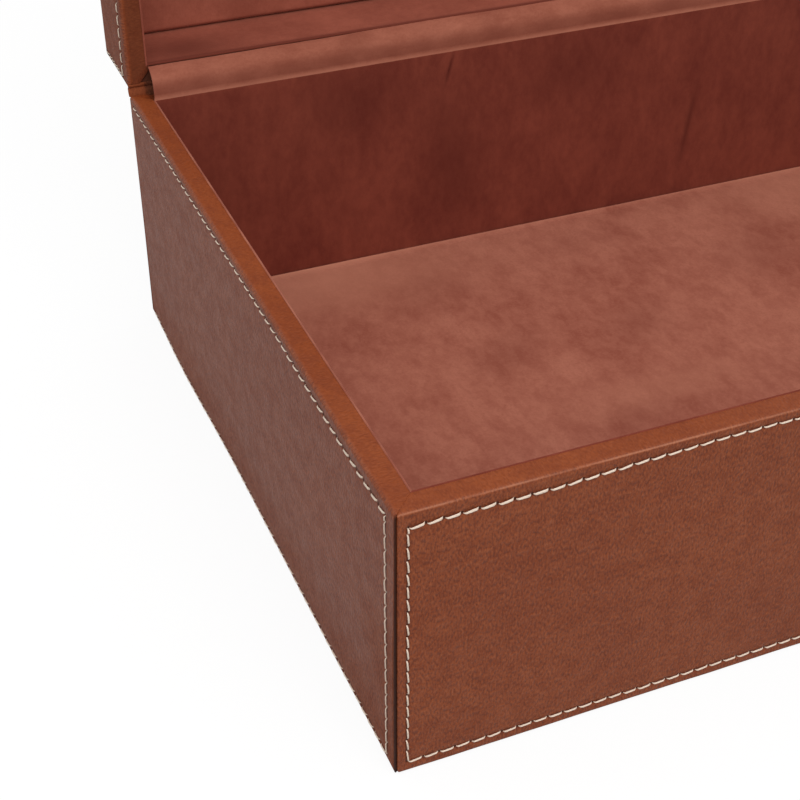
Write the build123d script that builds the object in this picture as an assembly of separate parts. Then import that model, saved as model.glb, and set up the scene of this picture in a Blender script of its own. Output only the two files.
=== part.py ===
"""Stationery box for A4 papers: two leather-wrapped board trays joined by a leather hinge.

Millimetres, +Z up. The origin is the centre of the underside, X runs along the
front and +Y points to the back. The lid stands open at right angles to the base.

Both trays are made the same way. A carcass of rebated boards is wrapped in
leather panels that go up the outside, over the rim and a short way down the
inside. Suede-covered linings are dropped in over the turned leather. One
leather cover runs up the back of the base, bends round the hinge axis and
goes on along the back of the lid. A suede strip closes the hinge inside.

A tray is drawn standing on its closed end, with z = 0 on the outside of that
end and the rim at the top. A wall is drawn as the front one: s runs along it,
n goes inwards from its outer face, and z goes up.
"""
import os

from build123d import *

# --- driving dimensions -----------------------------------------------------
WIDTH = 340.0            # outside, along the front
DEPTH = 248.0            # outside, front to back
BASE_HEIGHT = 90.0       # underside to rim
LID_HEIGHT = 34.0        # top to rim

LEATHER = 1.2            # wrapping leather
BOARD = 5.2              # wall boards of both trays
LINING = 1.2             # suede-covered wall linings
SKIVED_EDGE = 0.5        # leather thinned where it turns down inside the rim
TURN_IN = 12.0           # how far the thinned leather reaches down inside
TURN_UNDER = 6.5         # how far the leather reaches under the base
LINING_DROP = 0.2        # linings end this far below the rim

FLOOR_BOARD = 5.0
FLOOR_PAD = 3.0
PAD_CLEARANCE = 0.3      # round the two pads and the sheet under the base
UNDERSIDE_PROUD = 0.3    # the sheet under the base stands this far below the turned leather
LID_TOP_BOARD = 5.0
LID_TOP_PAD = 2.5

CORNER_LAP = 2.6         # what is left of front and rear boards past the side boards
PANEL_HOUSING = 2.6      # how far the closed end's board is let into the walls

OPEN_GAP = 2.7           # between base and lid at the hinge, lid open
CLOSED_GAP = 0.3         # between the rims, lid closed
STRIP_CLEARANCE = 0.3    # between the suede strip and the lid
STRIP_CROWN = 1.5        # how far the suede strip bows towards the inside
LID_OPEN_ANGLE = 90.0    # from closed

# --- edges ------------------------------------------------------------------
RIM_FOLD = 1.1           # leather folded over the outer edge of the rim
RIM_INNER_FOLD = 0.4
FOOT_FOLD = 1.1          # leather folded under the base
SEAM_ROUND = 0.45        # cut edges of the leather at the corner seams
LINING_EDGE = 0.3
PAD_EDGE = 1.0
COVER_EDGE = 0.5
TOP_FOLD = 1.0           # upper edge of the lid's top leather
TOP_CORNER = 1.6         # upright corners of the lid's top leather
EDGE_SHARE = 0.85        # no fold takes more than this share of a sheet

# --- worked out -------------------------------------------------------------
UNDERSIDE_COVER = LEATHER + UNDERSIDE_PROUD  # the sheet that the box stands on
BOARD_FACE = LEATHER + BOARD                 # inner face of a wall board
EDGE_FACE = BOARD_FACE + SKIVED_EDGE         # inner face of the turned leather
WALL = BOARD_FACE + LINING                   # whole wall
LINING_TIP = LINING - SKIVED_EDGE            # lining where it lies on the leather
HALF_DEPTH = DEPTH / 2
MITRE = WALL + 2.0                           # how deep a corner mitre is cut

HINGE_BACK = (OPEN_GAP - CLOSED_GAP) / 2     # axis behind the rear face
HINGE_Y = HALF_DEPTH + HINGE_BACK
HINGE_Z = BASE_HEIGHT + (OPEN_GAP + CLOSED_GAP) / 2
SQRT2 = 2 ** 0.5
BEND = HINGE_BACK * SQRT2 / (SQRT2 - 1)      # hollow side of the hinge bend touches the axis
BEND_Z = BASE_HEIGHT + OPEN_GAP - BEND       # centre of the bend
BEND_Y = HALF_DEPTH + BEND

SIDES = {"front": 0, "right": 90, "rear": 180, "left": 270}


class Tray:
    """Heights of one tray, measured from the outside of its closed end."""

    def __init__(self, name, height, skin, panel, pad):
        self.name = name
        self.height = height
        self.skin = skin                     # outer skin of the closed end
        self.panel = panel                   # its board
        self.pad = pad                       # the pad on that board
        self.panel_top = skin + panel
        self.board_top = height - LEATHER


BASE = Tray("base", BASE_HEIGHT, UNDERSIDE_COVER, FLOOR_BOARD, FLOOR_PAD)
LID = Tray("lid", LID_HEIGHT, LEATHER, LID_TOP_BOARD, LID_TOP_PAD)


# --- building a wall --------------------------------------------------------
def run_of(side):
    """Outside length of a wall."""
    return WIDTH if side in ("front", "rear") else DEPTH


def set_back(side):
    """Distance of a wall's outer face from the middle of the box."""
    return (DEPTH if side in ("front", "rear") else WIDTH) / 2


def profile(points, rounds=()):
    """Face in the (n, z) plane. rounds lists (n, z, radius) for the corners to round."""
    face = make_face(Polyline(*points, close=True).edges())
    for n, z, radius in rounds:
        corner = face.vertices().sort_by_distance((n, z, 0))[0]
        face = fillet(corner, radius)
    return face


def along_wall(face, length):
    """Extrudes a profile along a wall, the same way to both sides of its middle."""
    return extrude(Plane.YZ * face, amount=length / 2, both=True)


def mitre_plan(side, round_off):
    """A wall seen from above: mitred at both ends, with rounded outer corners."""
    half = run_of(side) / 2
    outline = Polyline(
        (-half, 0), (half, 0), (half - MITRE, MITRE), (MITRE - half, MITRE), close=True
    )
    plan = make_face(outline.edges())
    if round_off:
        plan = fillet(plan.vertices().group_by(Axis.Y)[0], round_off)
    return plan


def mitred(face, side, height, round_off=0.0):
    """A profile run along a wall and cut to the mitres at both ends."""
    return along_wall(face, run_of(side)) & extrude(mitre_plan(side, round_off), amount=height)


def on_side(shape, side):
    """Moves a wall drawn at the origin to its side of the tray."""
    return Rot(0, 0, SIDES[side]) * Pos(0, -set_back(side), 0) * shape


# --- carcass boards ---------------------------------------------------------
def wall_board(tray, side):
    """Wall board with a rebate for the closed end, and half-lapped corners."""
    height = tray.board_top - tray.skin
    across = side in ("front", "rear")
    shorter = LEATHER if across else LEATHER + CORNER_LAP
    length = run_of(side) - 2 * shorter
    board = Pos(0, LEATHER, tray.skin) * Box(
        length, BOARD, height, align=(Align.CENTER, Align.MIN, Align.MIN)
    )
    board -= Pos(0, BOARD_FACE, tray.skin) * Box(
        length, PANEL_HOUSING, tray.panel, align=(Align.CENTER, Align.MAX, Align.MIN)
    )
    if across:
        for end in (-1, 1):
            board -= Pos(end * length / 2, LEATHER + CORNER_LAP, 0) * Box(
                2 * BOARD, BOARD, tray.height, align=(Align.CENTER, Align.MIN, Align.MIN)
            )
    return board


def end_board(tray):
    """Board of the closed end, let into all four walls."""
    inset = 2 * (BOARD_FACE - PANEL_HOUSING)
    return Pos(0, 0, tray.skin) * Box(
        WIDTH - inset, DEPTH - inset, tray.panel, align=(Align.CENTER, Align.CENTER, Align.MIN)
    )


# --- leather ----------------------------------------------------------------
def rim_points(tray):
    """Turned edge of a leather panel: down the inside and back to the board's outer corner."""
    top = tray.height
    return [
        (EDGE_FACE, top),
        (EDGE_FACE, top - TURN_IN),
        (BOARD_FACE, top - TURN_IN),
        (BOARD_FACE, top - LEATHER),
        (LEATHER, top - LEATHER),
    ]


def wrap_profile(tray):
    """Leather up the outside of a wall, over its rim and down the inside."""
    top = tray.height
    points = [(0, top)] + rim_points(tray)
    rounds = [(0, top, RIM_FOLD), (EDGE_FACE, top, RIM_INNER_FOLD)]
    if tray is BASE:
        points += foot_points()
        rounds.append((0, UNDERSIDE_PROUD, FOOT_FOLD))
    else:
        points += [(LEATHER, tray.skin), (0, tray.skin)]
    return profile(points, rounds)


def foot_points():
    """Leather turned under the base, from the board's outer corner to the outside."""
    return [
        (LEATHER, UNDERSIDE_COVER),
        (TURN_UNDER, UNDERSIDE_COVER),
        (TURN_UNDER, UNDERSIDE_PROUD),
        (0, UNDERSIDE_PROUD),
    ]


def side_leather(tray, side):
    return mitred(wrap_profile(tray), side, tray.height, SEAM_ROUND)


def rear_edging(tray):
    """Leather strip over the rear board's rim, where no wrapped panel covers it."""
    top = tray.height
    face = profile([(LEATHER, top)] + rim_points(tray), [(EDGE_FACE, top, RIM_INNER_FOLD)])
    return mitred(face, "rear", top)


def top_leather():
    """Leather on top of the lid: it covers the cut edges of the lid's side leathers."""
    sheet = Box(WIDTH, DEPTH, LEATHER, align=(Align.CENTER, Align.CENTER, Align.MIN))
    sheet = fillet(sheet.edges().filter_by(Axis.Z), TOP_CORNER)
    return fillet(sheet.faces().sort_by(Axis.Z)[0].edges(), min(TOP_FOLD, EDGE_SHARE * LEATHER))


def underside_cover():
    """Sheet under the base, inside the turned leather and a little proud of it."""
    inset = 2 * (TURN_UNDER + PAD_CLEARANCE)
    sheet = Box(
        WIDTH - inset, DEPTH - inset, UNDERSIDE_COVER, align=(Align.CENTER, Align.CENTER, Align.MIN)
    )
    return fillet(sheet.faces().sort_by(Axis.Z)[0].edges(), COVER_EDGE)


# --- linings ----------------------------------------------------------------
def wall_lining(tray, side):
    """Suede-covered lining, thinner at the top where it lies on the turned leather."""
    tip = tray.height - LINING_DROP
    points = [
        (WALL, tip),
        (WALL, tray.panel_top),
        (BOARD_FACE, tray.panel_top),
        (BOARD_FACE, tray.height - TURN_IN),
        (EDGE_FACE, tray.height - TURN_IN),
        (EDGE_FACE, tip),
    ]
    return mitred(profile(points, [(WALL, tip, LINING_EDGE)]), side, tip)


def end_pad(tray):
    """Suede-covered pad on the closed end, with soft upper edges."""
    inset = 2 * (WALL + PAD_CLEARANCE)
    pad = Box(WIDTH - inset, DEPTH - inset, tray.pad, align=(Align.CENTER, Align.CENTER, Align.MIN))
    pad = fillet(pad.faces().sort_by(Axis.Z)[-1].edges(), PAD_EDGE)
    return Pos(0, 0, tray.panel_top) * pad


# --- placing the lid --------------------------------------------------------
HINGE_AXIS = Axis((0, HINGE_Y, HINGE_Z), (1, 0, 0))
LID_RIM_CLOSED = BASE_HEIGHT + CLOSED_GAP


def open_lid(shape):
    """Puts a lid piece upside down on the base, then swings it open about the hinge axis.

    The trays are the same left and right, so the turned-over lid is its mirror image.
    """
    closed = Pos(0, 0, LID_RIM_CLOSED + LID_HEIGHT) * mirror(shape, Plane.XY)
    return closed.rotate(HINGE_AXIS, -LID_OPEN_ANGLE)


# --- hinge ------------------------------------------------------------------
def rear_cover():
    """One leather: under the base, up its back, round the hinge and along the lid's back."""
    base_leg = profile(
        [(0, BEND_Z), (LEATHER, BEND_Z)] + foot_points(), [(0, UNDERSIDE_PROUD, FOOT_FOLD)]
    )
    base_part = on_side(mitred(base_leg, "rear", BASE_HEIGHT, SEAM_ROUND), "rear")
    lid_leg = profile(
        [(0, LEATHER), (LEATHER, LEATHER), (LEATHER, LID_HEIGHT - BEND), (0, LID_HEIGHT - BEND)]
    )
    lid_part = open_lid(on_side(mitred(lid_leg, "rear", LID_HEIGHT, SEAM_ROUND), "rear"))
    return base_part + hinge_bend() + lid_part


def hinge_bend():
    """Quarter turn of leather between the two trays, clear of the side leathers' corners."""
    ring = Circle(BEND + LEATHER) - Circle(BEND)
    quarter = ring & Rectangle(2 * BEND, 2 * BEND, align=(Align.MAX, Align.MIN))
    bend = Pos(0, BEND_Y, BEND_Z) * along_wall(quarter, WIDTH - 2 * SEAM_ROUND)
    base_corners = corner_blocks("rear", BASE_HEIGHT + CLOSED_GAP)
    return bend - base_corners - open_lid(corner_blocks("rear", LID_HEIGHT + CLOSED_GAP))


def corner_blocks(side, height):
    """What the side walls' leather takes up past the rear wall's mitres."""
    slab = Box(run_of(side), MITRE, height, align=(Align.CENTER, Align.MIN, Align.MIN))
    return on_side(slab - extrude(mitre_plan(side, 0), amount=height), side)


def hinge_strip():
    """Suede strip from the edge of the base's rear lining across to the lid's rear rim."""
    foot = BASE_HEIGHT - LINING_DROP
    inner_y = HALF_DEPTH - WALL
    outer_y = inner_y + LINING_TIP
    lid_inner_z = BASE_HEIGHT + OPEN_GAP + WALL
    lid_outer_z = lid_inner_z - LINING_TIP
    lid_y = HALF_DEPTH - STRIP_CLEARANCE
    lift = BASE_HEIGHT + STRIP_CLEARANCE
    outline = [
        Line((inner_y, foot), (outer_y, foot)),
        Line((outer_y, foot), (outer_y, lift)),
        SagittaArc((outer_y, lift), (lid_y, lid_outer_z), STRIP_CROWN),
        Line((lid_y, lid_outer_z), (lid_y, lid_inner_z)),
        SagittaArc((lid_y, lid_inner_z), (inner_y, lift), -STRIP_CROWN),
        Line((inner_y, lift), (inner_y, foot)),
    ]
    length = WIDTH - 2 * (WALL + STRIP_CLEARANCE)
    return along_wall(make_face(outline), length)


# --- the whole box ----------------------------------------------------------
def tray_pieces(tray):
    """Every piece of one tray by its node name, drawn in the tray's own frame."""
    pieces = {}
    for side in SIDES:
        pieces[f"{tray.name}_{side}_board"] = on_side(wall_board(tray, side), side)
        pieces[f"{tray.name}_{side}_lining"] = on_side(wall_lining(tray, side), side)
        if side != "rear":
            pieces[f"{tray.name}_{side}_leather"] = on_side(side_leather(tray, side), side)
    pieces[f"{tray.name}_rear_edging"] = on_side(rear_edging(tray), "rear")
    return pieces


def box_pieces():
    pieces = tray_pieces(BASE)
    pieces["base_floor_board"] = end_board(BASE)
    pieces["base_floor_pad"] = end_pad(BASE)
    pieces["base_underside_cover"] = underside_cover()

    lid = tray_pieces(LID)
    lid["lid_top_board"] = end_board(LID)
    lid["lid_top_pad"] = end_pad(LID)
    lid["lid_top_leather"] = top_leather()
    for name, shape in lid.items():
        pieces[name] = open_lid(shape)

    pieces["rear_cover_leather"] = rear_cover()
    pieces["hinge_suede_strip"] = hinge_strip()
    return pieces


os.makedirs("parts", exist_ok=True)
for node, solid in box_pieces().items():
    export_step(solid, f"parts/{node}.step")
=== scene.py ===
"""Looks of the stationery box: leather-wrapped trays with stitched panels and a suede lining.

Millimetres in the code, metres in Blender. A wall is drawn as the front one of an
upright tray: x runs along it, n goes inwards from its outer face, c is the height
above the tray's closed end.
"""

import math

import bpy
import numpy as np
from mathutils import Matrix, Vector, geometry, noise


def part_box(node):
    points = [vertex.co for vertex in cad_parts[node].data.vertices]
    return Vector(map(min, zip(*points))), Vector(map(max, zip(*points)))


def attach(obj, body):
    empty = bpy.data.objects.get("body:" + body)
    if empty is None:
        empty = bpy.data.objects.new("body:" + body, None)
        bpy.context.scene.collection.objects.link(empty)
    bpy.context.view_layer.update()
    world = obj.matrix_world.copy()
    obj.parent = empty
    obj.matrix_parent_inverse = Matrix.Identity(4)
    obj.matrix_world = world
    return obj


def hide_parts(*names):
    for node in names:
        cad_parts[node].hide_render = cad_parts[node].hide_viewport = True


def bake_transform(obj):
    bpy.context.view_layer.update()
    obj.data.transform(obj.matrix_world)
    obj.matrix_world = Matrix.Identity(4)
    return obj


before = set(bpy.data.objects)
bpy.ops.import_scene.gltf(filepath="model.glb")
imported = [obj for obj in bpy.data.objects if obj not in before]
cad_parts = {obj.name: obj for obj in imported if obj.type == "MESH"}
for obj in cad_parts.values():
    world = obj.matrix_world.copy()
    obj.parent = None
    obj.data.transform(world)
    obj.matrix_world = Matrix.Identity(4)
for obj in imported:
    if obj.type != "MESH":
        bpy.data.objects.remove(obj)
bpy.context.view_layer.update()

MM = 0.001


def box_mm(node):
    low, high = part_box(node)
    return np.array(low) / MM, np.array(high) / MM


# --- sizes, read from the CAD ---
_low, _high = box_mm("base_front_leather")
DEPTH = -2 * _low[1]
BASE_H = _high[2]
FOOT = _low[2]
_low, _high = box_mm("lid_top_leather")
WIDTH = _high[0] - _low[0]
LID_BACK = _high[1]
LID_LOW = _low[2]
LID_MID = (_low[2] + _high[2]) / 2
LEATHER = _high[1] - _low[1]
LID_H = LID_BACK - box_mm("lid_left_leather")[0][1]
_low, _high = box_mm("base_front_lining")
LINING_FOOT = _low[2]
HALF_W, HALF_D = WIDTH / 2, DEPTH / 2

# a wall's layers, from its outer face: leather, board, suede
WALL = _high[1] + HALF_D
SUEDE = 1.2
SUEDE_OVER_TURN = 0.7
EDGE_FACE = WALL - SUEDE_OVER_TURN  # where the turned-in leather faces the suede
BOARD_FACE = WALL - SUEDE
TURN_IN = 12.0  # how far the leather goes down inside
TURN_UNDER = 6.5  # and under the base

# the rear cover bends round the hinge on this radius, between these two heights
BEND = 4.1
BEND_Y = HALF_D + BEND
BEND_Z = LID_LOW - BEND

# --- sewing ---
PITCH = (4.62, 4.28)  # stitch length in level rows and in upright ones
SIDE_PITCH = (4.78, 4.62)
CORNER_STITCH = 1.7
SEAM_LINES = (0, -0.35, 0.35, -0.8, 0.8, -1.5, 1.5)  # grid lines beside a row
NO_SEAM = 9.0  # a distance at which neither thread nor needle hole shows
FAR_OFF = 99.0
SWAY = 0.14  # how much a level row wanders, and in what lengths
SWAY_RUNS = (8.3, 21.0)

SIDES = {
    "front": ((1, 0), (0, 1)),
    "right": ((0, 1), (-1, 0)),
    "rear": ((-1, 0), (0, -1)),
    "left": ((0, -1), (1, 0)),
}


def run_of(side):
    return WIDTH if side in ("front", "rear") else DEPTH


class Tray:
    def __init__(self, name, height, lining_foot):
        self.name, self.height, self.lining_foot = name, height, lining_foot

    def wall(self, side):
        """Function from wall coordinates (x, n, c) to the row frame, in millimetres."""
        (ax, ay), (ix, iy) = SIDES[side]
        half = HALF_D if side in ("front", "rear") else HALF_W

        def to_row(x, n, c):
            if self.name == "base" and side == "left":
                n = n - left_panel_bow(x, n, c)
            u, v = ax * x + ix * (n - half), ay * x + iy * (n - half)
            # the lid stands open, its closed end to the back
            return on_section(u, v, c) if self.name == "base" else on_section(u, LID_BACK - c, LID_MID - v)

        return to_row


def on_section(x, p, q):
    """The row frame from x and a section in (y, z)."""
    return np.stack(np.broadcast_arrays(x, p, q), axis=-1)


# the base's left panel bows out at its foot, widest at this x
BOW = 0.9
BOW_AT, BOW_HALF = -77.0, 36.0
BOW_TOP = 42.0
BOW_LAYER = (1.3, 3.0)  # the leather bows out and the board behind it stays


def left_panel_bow(x, n, c):
    return BOW * bell(x - BOW_AT, BOW_HALF) * (1 - fade(c, 0.0, BOW_TOP)) * (1 - fade(n, *BOW_LAYER))


BASE = Tray("base", BASE_H, LINING_FOOT)
LID = Tray("lid", LID_H, LID_BACK - box_mm("lid_front_lining")[1][1])


# --- mesh building ---
CLOSED_END_R = 1.8
CLOSED_END = (HALF_W, LID_BACK, LID_MID - LID_LOW)
SHARP = 50  # degrees, from which an edge is drawn sharp
GRAIN_STEP = 400  # keeps the grain of one panel apart from the next
LINE_GAP = 0.22  # grid lines come no nearer to each other than this


def into_edge(at, edge, radius):
    """How far into an edge's rounding a point lies: 0 where it begins, 1 at the edge."""
    return np.clip(1 - (edge - np.abs(at)) / radius, 0, None)


def to_round(a, b):
    """The share that brings a square corner back to a round one."""
    size = np.hypot(a, b)
    return np.where(size > 0, np.maximum(a, b) / np.where(size > 0, size, 1), 1)


def eased(points):
    """Rounds the long edges of the lid's closed end."""
    points = np.array(points, float)
    across = points - (0, 0, LID_MID)
    out = [into_edge(across[:, k], edge, CLOSED_END_R) for k, edge in enumerate(CLOSED_END)]
    cut = 1 - to_round(out[1], np.maximum(out[0], out[2]))
    for k in range(3):
        points[:, k] -= np.sign(across[:, k]) * out[k] * cut * CLOSED_END_R
    return points


def make(name, points, faces, values, material, body, node=None, sharp=SHARP):
    """A mesh object from points in millimetres, smooth but for its sharp edges."""
    mesh = bpy.data.meshes.new(name)
    mesh.from_pydata((eased(points) * MM).tolist(), [], [list(map(int, f)) for f in faces])
    for key, data in values.items():
        data = np.asarray(data, np.float32)
        kind = "FLOAT" if data.ndim == 1 else "FLOAT_VECTOR"
        field = "value" if data.ndim == 1 else "vector"
        mesh.attributes.new(key, kind, "POINT").data.foreach_set(field, data.ravel())
    mesh.validate()
    piece = bpy.data.objects.new(name, mesh)
    bpy.context.scene.collection.objects.link(piece)
    outward(mesh)
    mesh.shade_smooth()
    mesh.set_sharp_from_angle(angle=math.radians(sharp))
    mesh.materials.append(material)
    if node:
        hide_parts(node)
    if body:
        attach(piece, body)
    return piece


def outward(mesh):
    """Turns a closed mesh right side out."""
    mesh.calc_loop_triangles()
    co = np.empty(len(mesh.vertices) * 3)
    mesh.vertices.foreach_get("co", co)
    co = co.reshape(-1, 3)
    tri = np.empty(len(mesh.loop_triangles) * 3, int)
    mesh.loop_triangles.foreach_get("vertices", tri)
    a, b, c = (co[tri.reshape(-1, 3)[:, k]] for k in range(3))
    if np.einsum("ij,ij->i", a, np.cross(b, c)).sum() < 0:
        mesh.flip_normals()


def grid_faces(rows, cols, wrap_rows):
    """Quads over a rows by cols block of vertices; wrap_rows joins the last row to the first."""
    r = np.arange(rows if wrap_rows else rows - 1)
    a = (r[:, None] * cols + np.arange(cols - 1)).ravel()
    b = (((r + 1) % rows)[:, None] * cols + np.arange(cols - 1)).ravel()
    return np.stack([a, a + 1, b + 1, b], axis=1)


def cap_faces(outline, indices):
    """Triangles over one flat outline of vertices."""
    flat = [Vector((p[0], p[1], 0)) for p in outline]
    return [[indices[k] for k in t] for t in geometry.tessellate_polygon([flat])]


def arc(cx, cz, r, start, end, steps):
    """Points of an arc in a section, its angles in degrees."""
    a = np.radians(np.linspace(start, end, steps + 1))
    return [(cx + r * math.cos(t), cz + r * math.sin(t)) for t in a]


def merged(values, least=LINE_GAP):
    """Sorted values with no two nearer than least; earlier lists win."""
    kept = []
    for group in values:
        for v in group:
            if all(abs(v - k) >= least for k in kept):
                kept.append(float(v))
    return sorted(kept)


def evenly(half, step):
    """Lines a step apart, as many as fit between -half and half."""
    count = int(half / step)
    return [k * step for k in range(-count, count + 1)]


def fade(x, start, end):
    """From 0 at start to 1 at end, with soft ends."""
    t = np.clip((x - start) / (end - start), 0, 1)
    return t * t * (3 - 2 * t)


def bell(x, half):
    """1 where x is 0, gone about twice half away from it."""
    return np.exp(-((x / half) ** 2))


def both_ends(half, insets):
    """Lines at these insets from -half and from half."""
    return [sign * (half - d) for sign in (-1, 1) for d in insets]


def triples(*parts):
    """Three arrays as rows of three values."""
    return np.stack(parts, -1).reshape(-1, 3)


SEED_STEP = (17.3, 5.1, 9.7)


def wave(points, scale, seed):
    """Smooth noise at each point, about -1 to 1."""
    shift = Vector([seed * step for step in SEED_STEP])
    return np.array([noise.noise(Vector(p) / scale + shift) for p in points])


def along_run(x, scale, seed):
    """Smooth noise along a run, one value for each x."""
    return wave([(v, 0, 0) for v in x], scale, seed)


# --- rows of stitches ---
def seam_lines(low, high, pitch, count):
    """Grid lines beside the rows at low and high, and at every half stitch between."""
    beside = [v + d for v in (low, high) for d in SEAM_LINES]
    return beside + [low + k * pitch / 2 for k in range(2 * count + 1)]


class Rows:
    """Stitches round a rectangle on a panel, x0 to x1 and c0 to c1.

    sides are the sewn ones, of l, t, r and b. drift lists (x, drop, near, far): the top row
    comes down by drop where it is near that x. edge is the height at which the face ends.
    """

    def __init__(self, x0, x1, c0, c1, edge, sides="ltrb", drift=(), pitch=PITCH):
        self.x0, self.x1, self.c0, self.c1 = x0, x1, c0, c1
        self.edge, self.sides, self.drift = edge, sides, drift
        self.nx = round((x1 - x0) / pitch[0])
        self.px = (x1 - x0) / self.nx
        self.nc = max(1, round((c1 - c0 - CORNER_STITCH) / pitch[1]))
        self.pc = (c1 - c0 - CORNER_STITCH) / self.nc

    def field(self, x, c):
        """Distance to the nearest row, and along it to the nearest needle hole."""
        over_x = np.maximum(np.maximum(self.x0 - x, x - self.x1), 0)
        over_c = np.maximum(np.maximum(self.c0 - c, c - self.c1), 0)
        u = (x - self.x0) / self.px
        w = (c - self.c0) / self.pc
        hole_x = np.abs(u - np.clip(np.round(u), 0, self.nx)) * self.px
        hole_c = np.abs(w - np.clip(np.round(w), 0, self.nc)) * self.pc
        hole_c = np.minimum(hole_c, np.abs(c - self.c1))
        far, along = np.full(np.shape(x + c), FAR_OFF), np.full(np.shape(x + c), NO_SEAM)
        for side, off, over, hole in (
            ("l", x - self.x0, over_c, hole_c),
            ("r", x - self.x1, over_c, hole_c),
            ("b", c - self.c0, over_x, hole_x),
            ("t", c - self.c1, over_x, hole_x),
        ):
            if side in self.sides:
                away = np.hypot(off, over)
                along = np.where(away < far, hole, along)
                far = np.minimum(away, far)
        return far, along

    def by_hand(self, x, c):
        """Height of the point once the row has wandered as the worker sewed it."""
        if self.drift is None:
            return c
        drop = SWAY * np.sin(x / SWAY_RUNS[0] + 1.0) * np.sin(x / SWAY_RUNS[1] + self.c1)
        for at, amount, near, gone in self.drift:
            drop = drop + amount * (1 - fade(np.abs(x - at), near, gone))
        above = 1 - np.clip((c - self.c1) / (self.edge - self.c1), 0, 1)
        return c - drop * fade(c, self.c0, self.c1) * above

    def x_lines(self):
        return seam_lines(self.x0, self.x1, self.px, self.nx)

    def c_lines(self):
        return seam_lines(self.c0, self.c1, self.pc, self.nc)

    def heights(self, start, end):
        """Heights of grid lines between start and end."""
        return [c for c in merged([[start, end], self.c_lines()]) if start < c < end]

    def stitches(self):
        """Needle hole to needle hole, clockwise seen from outside."""
        xs = [self.x0 + k * self.px for k in range(self.nx + 1)]
        cs = [self.c0 + k * self.pc for k in range(self.nc + 1)] + [self.c1]
        runs = {
            "l": [((self.x0, a), (self.x0, b)) for a, b in zip(cs, cs[1:])],
            "t": [((a, self.c1), (b, self.c1)) for a, b in zip(xs, xs[1:])],
            "r": [((self.x1, b), (self.x1, a)) for a, b in zip(cs, cs[1:])],
            "b": [((b, self.c0), (a, self.c0)) for a, b in zip(xs, xs[1:])],
        }
        return np.array([stitch for side in self.sides for stitch in runs[side]])


# the groove under a thread, the pit at each needle hole and the hollow round them: depth and reach
GROOVE = (0.15, 0.55)
PIT = (0.12, 2.0)
HOLLOW = (0.10, 1.8)


def seam_dip(far, along):
    """How far the thread pulls the leather in."""
    groove = GROOVE[0] + PIT[0] * (1 - fade(along, 0.0, PIT[1]))
    return groove * bell(far, GROOVE[1]) + HOLLOW[0] * bell(far, HOLLOW[1])


# --- swept pieces ---
NEAR_MITRE = (0.7, 1.2, 1.9, 2.8, 4.0)  # columns beside a mitre
SEAM_R = {"front": 0.5, "left": 0.16, "right": 0.16, "rear": 0.3}  # a panel's rounding at its mitres
FILLET = (135, 112, 90, 68, 46, 24, 0)  # degrees round it
RIM_R = {"front": 0.9, "left": 1.4, "right": 1.4}  # the fold over the rim
INNER_R = 0.3
FOOT_R = 1.0
FOOT_ARC = arc(FOOT_R, FOOT + FOOT_R, FOOT_R, -90, -180, 6)
MITRED = (8.0, 30.0)  # a mitre slants the columns that lie nearer than this, and then ever less
CALM_ENDS = (0.5, 6.0)  # swelling begins this far from a mitre


def seam_ends(radius):
    """Columns of the rounded end at a mitre: distance from the mitre, and how far in."""
    tangent = radius / math.tan(math.radians(22.5))
    out = []
    for deg in FILLET:
        s, c = math.sin(math.radians(deg)), math.cos(math.radians(deg))
        inset = radius * (1 - c)
        out.append((max(tangent - radius * s - inset, 0.0), inset))
    return out


def columns(length, lines, end_round):
    """Columns along a run: (side, distance from that end, how far rounded in)."""
    ends = seam_ends(end_round) if end_round else [(0.0, 0.0)]
    clear = length / 2 - ends[-1][0] - 0.2
    inside = [(-1 if v < 0 else 1, length / 2 - abs(v), 0.0) for v in sorted(lines) if abs(v) < clear]
    return [(-1, *end) for end in ends] + inside + [(1, *end) for end in ends[::-1]]


def normals_of(path, turn):
    """Inward normals along an open path; turn is 1 for right of travel, -1 for left."""
    path = np.array(path)
    t = np.gradient(path, axis=0)
    t /= np.linalg.norm(t, axis=1)[:, None]
    return turn * np.stack([t[:, 1], -t[:, 0]], axis=1)


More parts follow.
